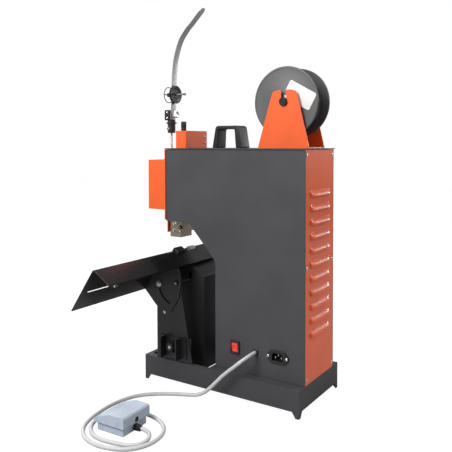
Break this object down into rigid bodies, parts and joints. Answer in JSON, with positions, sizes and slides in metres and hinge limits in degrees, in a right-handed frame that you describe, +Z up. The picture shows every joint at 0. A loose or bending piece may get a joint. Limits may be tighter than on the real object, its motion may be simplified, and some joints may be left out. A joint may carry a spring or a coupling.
{
  "type": "electric wire stitching machine",
  "caption": "Bench-top electric wire stitcher: a saddle table that lifts and tilts under a crank-driven head, a wire spool on top and a foot switch on a cord.",
  "frame": {"origin": "on the floor, under the middle of the box round the machine and its pedal, without the foot cord", "axes": "+Z up, the operator and the stitching head at -Y, the louvred rear panel at +Y, the switch, inlet and pedal on the +X side"},
  "size_m": [0.643, 0.382, 0.7761],
  "materials": {
    "base_plinth": "satin dark grey powder coat",
    "side_panel_right": "satin dark grey powder coat",
    "side_panel_left": "satin dark grey powder coat",
    "back_panel": "satin orange powder coat",
    "top_plate": "satin dark grey powder coat",
    "throat_liner": "satin dark grey powder coat",
    "front_bearing_plate": "matt",
    "rear_bearing_plate": "matt",
    "front_bearing": "turned bronze",
    "rear_bearing": "turned bronze",
    "crankshaft": "turned steel",
    "crank_roller": "turned bronze",
    "flywheel": "machined cast iron",
    "motor": "painted casting",
    "motor_pulley": "turned steel",
    "motor_bracket": "plain steel",
    "drive_belt": "matt rubber",
    "clutch_solenoid": "plain steel",
    "clutch_pawl": "ground steel",
    "control_board": "circuit board",
    "head_plate": "ground steel",
    "ram": "ground steel",
    "driver_blade": "ground steel",
    "former_block": "ground steel",
    "head_guard": "satin orange powder coat",
    "head_front_cover": "satin orange powder coat",
    "head_top_cover": "satin orange powder coat",
    "adjust_knob": "moulded black",
    "carry_handle": "moulded black",
    "spool_bracket": "satin orange powder coat",
    "wire_spool": "moulded grey",
    "wire_winding": "dark steel wire",
    "spool_axle": "turned steel",
    "guide_strip": "spring steel",
    "guide_clamp": "black",
    "guide_post": "turned steel",
    "thumb_nut": "turned steel",
    "tension_screw": "turned steel",
    "tension_disc": "moulded black",
    "guide_hoop": "black",
    "saddle_table": "smooth semi-gloss black powder coat",
    "ridge_clip": "moulded black",
    "swing_plate_right": "black powder coat",
    "swing_plate_left": "black powder coat",
    "table_post_right": "black powder coat",
    "table_post_left": "black powder coat",
    "tilt_rod": "turned steel",
    "arc_bolt": "plated steel",
    "lock_bracket": "black powder coat",
    "lock_knob": "moulded black",
    "anvil_column": "black powder coat",
    "clincher_block": "ground steel",
    "switch_body": "moulded black",
    "switch_rocker": "glossy red",
    "power_inlet": "moulded black",
    "cable_gland": "moulded black",
    "foot_cord": "smooth light grey sheath",
    "pedal_base": "moulded blue-grey",
    "pedal_treadle": "textured blue-grey paint",
    "pedal_gland": "moulded black"
  },
  "bodies": {
    "machine": {"base_plinth": "base_plinth", "side_panel_right": "side_panel_right", "side_panel_left": "side_panel_left", "back_panel": "back_panel", "top_plate": "top_plate", "throat_liner": "throat_liner", "front_bearing_plate": "front_bearing_plate", "rear_bearing_plate": "rear_bearing_plate", "front_bearing": "front_bearing", "rear_bearing": "rear_bearing", "motor": "motor", "motor_bracket": "motor_bracket", "drive_belt": "drive_belt", "clutch_solenoid": "clutch_solenoid", "control_board": "control_board", "head_plate": "head_plate", "former_block": "former_block", "head_guard": "head_guard", "head_front_cover": "head_front_cover", "head_top_cover": "head_top_cover", "carry_handle": "carry_handle", "spool_bracket": "spool_bracket", "spool_axle": "spool_axle", "guide_strip": "guide_strip", "guide_clamp": "guide_clamp", "guide_post": "guide_post", "tension_screw": "tension_screw", "guide_hoop": "guide_hoop", "anvil_column": "anvil_column", "clincher_block": "clincher_block", "switch_body": "switch_body", "power_inlet": "power_inlet", "cable_gland": "cable_gland", "foot_cord": "foot_cord", "pedal_base": "pedal_base", "pedal_gland": "pedal_gland"},
    "drive": {"flywheel": "flywheel"},
    "motor_rotor": {"motor_pulley": "motor_pulley"},
    "crank": {"crankshaft": "crankshaft", "crank_roller": "crank_roller"},
    "ram_unit": {"ram": "ram", "driver_blade": "driver_blade"},
    "pawl": {"clutch_pawl": "clutch_pawl"},
    "spool": {"wire_spool": "wire_spool", "wire_winding": "wire_winding"},
    "stand": {"table_post_right": "table_post_right", "table_post_left": "table_post_left", "tilt_rod": "tilt_rod", "arc_bolt": "arc_bolt", "lock_bracket": "lock_bracket"},
    "table": {"saddle_table": "saddle_table", "ridge_clip": "ridge_clip", "swing_plate_right": "swing_plate_right", "swing_plate_left": "swing_plate_left"},
    "lock": {"lock_knob": "lock_knob"},
    "knob": {"adjust_knob": "adjust_knob"},
    "guide_nut": {"thumb_nut": "thumb_nut"},
    "disc": {"tension_disc": "tension_disc"},
    "rocker": {"switch_rocker": "switch_rocker"},
    "treadle": {"pedal_treadle": "pedal_treadle"}
  },
  "joints": [
    {"name": "flywheel_spin", "type": "hinge", "parent": "machine", "child": "drive", "pos_m": [-0.0124, 0.057, 0.41], "axis": [0, 1, 0], "continuous": true},
    {"name": "motor_spin", "type": "hinge", "parent": "machine", "child": "motor_rotor", "pos_m": [-0.0124, 0.057, 0.17], "axis": [0, 1, 0], "continuous": true},
    {"name": "crank_turn", "type": "hinge", "parent": "machine", "child": "crank", "pos_m": [-0.0124, -0.14, 0.41], "axis": [0, 1, 0], "range_deg": [0, 180]},
    {"name": "ram_slide", "type": "slide", "parent": "machine", "child": "ram_unit", "axis": [0, 0, 1], "range_m": [-0.022, 0]},
    {"name": "pawl_slide", "type": "slide", "parent": "machine", "child": "pawl", "axis": [0, 0, 1], "range_m": [0, 0.003], "stiffness_N_per_m": 200, "springref_m": -0.002},
    {"name": "spool_spin", "type": "hinge", "parent": "machine", "child": "spool", "pos_m": [-0.0034, 0.124, 0.57], "axis": [1, 0, 0], "continuous": true},
    {"name": "stand_lift", "type": "slide", "parent": "machine", "child": "stand", "axis": [0, 0, 1], "range_m": [0, 0.012]},
    {"name": "table_tilt", "type": "hinge", "parent": "stand", "child": "table", "pos_m": [-0.0124, -0.096, 0.211], "axis": [1, 0, 0], "range_deg": [-55, 0]},
    {"name": "lock_turn", "type": "hinge", "parent": "machine", "child": "lock", "pos_m": [0.0827, -0.103, 0.083], "axis": [1, 0, 0], "range_deg": [-180, 180]},
    {"name": "head_adjust_turn", "type": "hinge", "parent": "machine", "child": "knob", "pos_m": [0.0156, -0.12, 0.52], "axis": [0, 0, 1], "range_deg": [-180, 180]},
    {"name": "guide_nut_turn", "type": "hinge", "parent": "machine", "child": "guide_nut", "pos_m": [-0.0124, -0.1634, 0.5555], "axis": [0, 1, 0], "range_deg": [-180, 180]},
    {"name": "tension_disc_spin", "type": "hinge", "parent": "machine", "child": "disc", "pos_m": [-0.0124, -0.1632, 0.5985], "axis": [0, 1, 0], "continuous": true},
    {"name": "rocker_tilt", "type": "hinge", "parent": "machine", "child": "rocker", "pos_m": [0.0484, 0.03, 0.097], "axis": [0, -1, 0], "range_deg": [0, 18]},
    {"name": "treadle_press", "type": "hinge", "parent": "machine", "child": "treadle", "pos_m": [0.26259, -0.05049, 0.021], "axis": [0.9994, 0.0349, 0], "range_deg": [0, 5], "stiffness_Nm_per_rad": 0.6, "springref_deg": -8.59}
  ],
  "couplings": [
    {"joint": "motor_spin", "follows": "flywheel_spin", "ratio": 2.877},
    {"joint": "ram_slide", "follows": "crank_turn", "m_per_rad": -0.007003}
  ]
}
